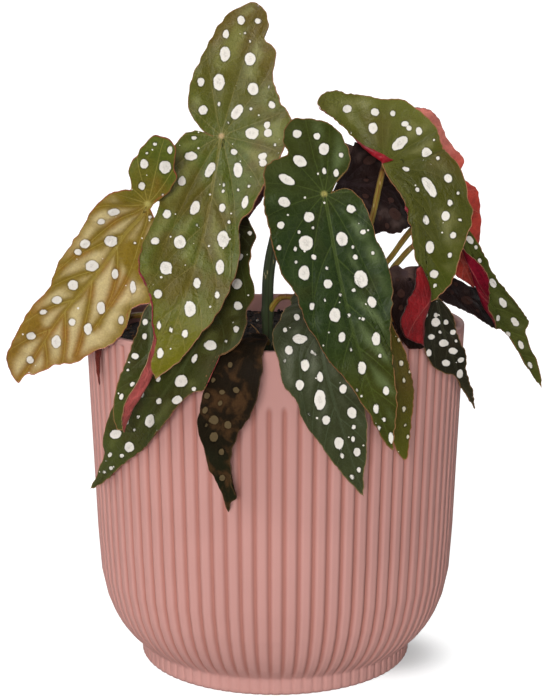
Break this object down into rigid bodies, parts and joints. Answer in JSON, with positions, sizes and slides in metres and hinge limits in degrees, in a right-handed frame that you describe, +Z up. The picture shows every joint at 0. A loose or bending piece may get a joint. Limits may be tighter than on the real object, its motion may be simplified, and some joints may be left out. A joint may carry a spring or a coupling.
{
  "type": "potted polka dot begonia",
  "caption": "Cane begonia with long, pointed, white-spotted leaves that hang over the front of a round, finely ribbed pink pot on a narrower foot.",
  "frame": {"origin": "middle of the pot's flat base, on the surface that the pot stands on", "axes": "+Z up along the pot's axis; the front with the smooth panel faces -Y; +X is to the right as seen from the front"},
  "size_m": [0.1942, 0.1696, 0.2396],
  "materials": {
    "pot": "satin",
    "soil": "matte",
    "cane": "satin",
    "leaf_olive": "satin",
    "leaf_tan": "satin",
    "leaf_green": "satin",
    "leaf_grey": "satin",
    "leaf_wine": "satin",
    "leaf_dark": "satin",
    "papery": "matte"
  },
  "bodies": {
    "root": {"pot": "pot", "soil": "soil", "cane_front": "cane", "cane_left": "cane", "cane_right": "cane", "leaf_tall_left": "leaf_olive", "leaf_left_olive": "leaf_tan", "leaf_centre_green": "leaf_green", "leaf_right_olive": "leaf_olive", "leaf_right_behind": "leaf_wine", "leaf_right_hanging": "leaf_green", "leaf_shaded_middle": "leaf_dark", "leaf_red_fold": "leaf_wine", "leaf_small_right": "leaf_green", "leaf_dark_point": "leaf_dark", "leaf_olive_brown": "leaf_tan", "leaf_low_front": "leaf_grey", "leaf_low_left": "leaf_green", "leaf_narrow_left": "leaf_wine", "leaf_old_hanging": "leaf_dark", "leaf_young_red": "leaf_wine", "leaf_rear_left": "leaf_green", "leaf_rear_right": "leaf_green", "stipule": "papery"}
  },
  "joints": []
}
